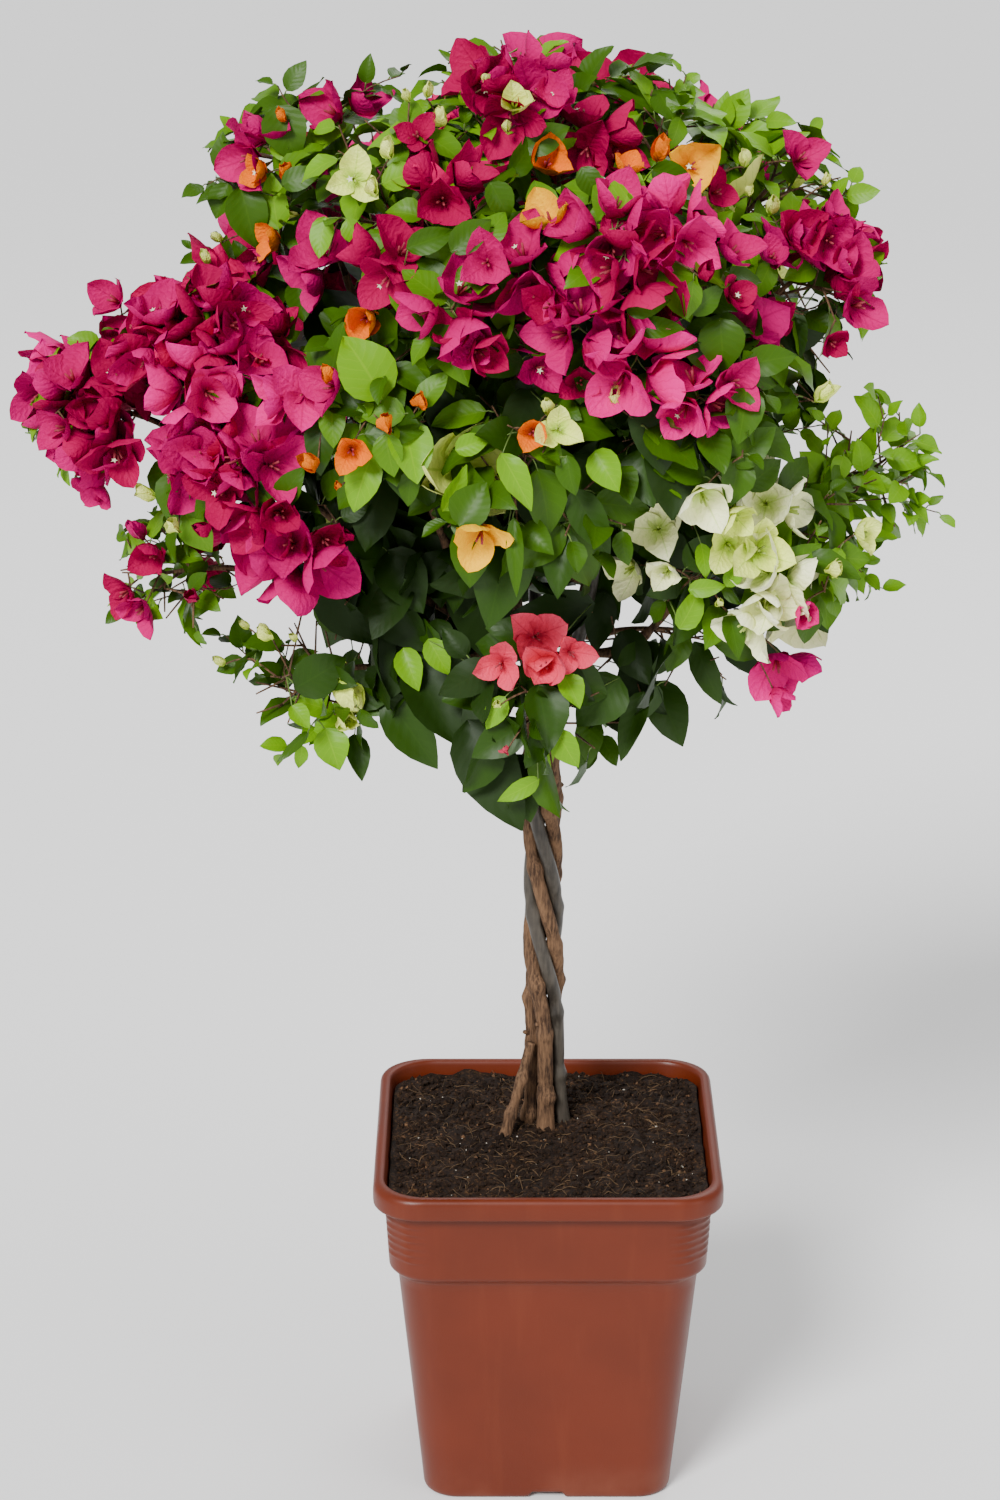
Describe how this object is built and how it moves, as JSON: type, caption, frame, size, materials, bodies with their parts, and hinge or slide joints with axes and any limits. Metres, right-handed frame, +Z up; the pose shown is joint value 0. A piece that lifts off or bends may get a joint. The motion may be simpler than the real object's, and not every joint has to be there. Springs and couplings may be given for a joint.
{
  "type": "potted bougainvillea standard",
  "caption": "Bougainvillea grown as a standard: twisted stems rise from a square plastic pot and carry a round head of leaves and papery magenta, white and orange bracts.",
  "frame": {"origin": "centre of the pot's underside, on the surface that the pot stands on", "axes": "+Z up, the pot's front side faces -Y and +X is to the right of it"},
  "size_m": [0.5448, 0.4271, 0.937],
  "materials": {
    "pot_plastic": "terracotta-coloured moulded plastic, satin, slightly worn at the lip",
    "soil": "moist peat potting soil, crumbly and matt",
    "bark_brown": "pale brown furrowed bark, matt",
    "bark_grey": "smooth grey bark with a slight sheen",
    "leaf_green": "mid green leaves, satin",
    "leaf_dark": "dark green shaded leaves, satin",
    "bract_magenta": "papery magenta bracts, matt",
    "bract_white": "papery cream white bracts, matt"
  },
  "bodies": {
    "root": {"pot": "pot_plastic", "soil": "soil", "stem_front": "bark_brown", "stem_right": "bark_grey", "stem_back_right": "bark_brown", "stem_back_left": "bark_grey", "stem_left": "bark_brown", "stem_cut_short": "bark_brown", "bough_top_centre": "bark_brown", "bough_top_left_front": "bark_brown", "bough_right_top": "bark_brown", "bough_right_magenta": "bark_brown", "bough_front_right": "bark_brown", "bough_front_left": "bark_brown", "bough_front_centre_low": "bark_brown", "bough_left_upper": "bark_brown", "bough_left_tip": "bark_brown", "bough_left_lower": "bark_brown", "bough_left_small": "bark_brown", "bough_low_left_spray": "bark_brown", "bough_low_left_dark": "bark_brown", "bough_low_front": "bark_brown", "bough_low_right_dark": "bark_brown", "bough_right_white": "bark_brown", "bough_right_arching": "bark_brown", "bough_right_middle": "bark_brown", "bough_back_left": "bark_brown", "bough_back_right": "bark_brown", "bough_back_centre": "bark_brown", "bough_back_low_left": "bark_brown", "bough_back_low_right": "bark_brown", "mass_top_centre": "bract_magenta", "mass_top_left": "leaf_green", "mass_top_left_front": "leaf_green", "mass_top_right": "leaf_green", "mass_right_top": "leaf_green", "mass_right_magenta": "bract_magenta", "mass_front_left_high": "bract_magenta", "mass_front_right_high": "bract_magenta", "mass_front_right": "bract_magenta", "mass_front_left": "leaf_green", "mass_front_centre_low": "leaf_green", "mass_left_upper": "bract_magenta", "mass_left_tip": "bract_magenta", "mass_left_lower": "bract_magenta", "mass_left_small": "bract_magenta", "mass_low_left_spray": "leaf_green", "mass_low_left_dark": "leaf_dark", "mass_low_front": "leaf_dark", "mass_low_right_dark": "leaf_dark", "mass_right_white": "bract_white", "mass_right_arching": "leaf_green", "mass_right_middle": "leaf_green", "mass_back_top": "bract_magenta", "mass_back_left": "bract_magenta", "mass_back_right": "leaf_green", "mass_back_centre": "bract_magenta", "mass_back_low_left": "leaf_green", "mass_back_low_right": "bract_white"}
  },
  "joints": []
}
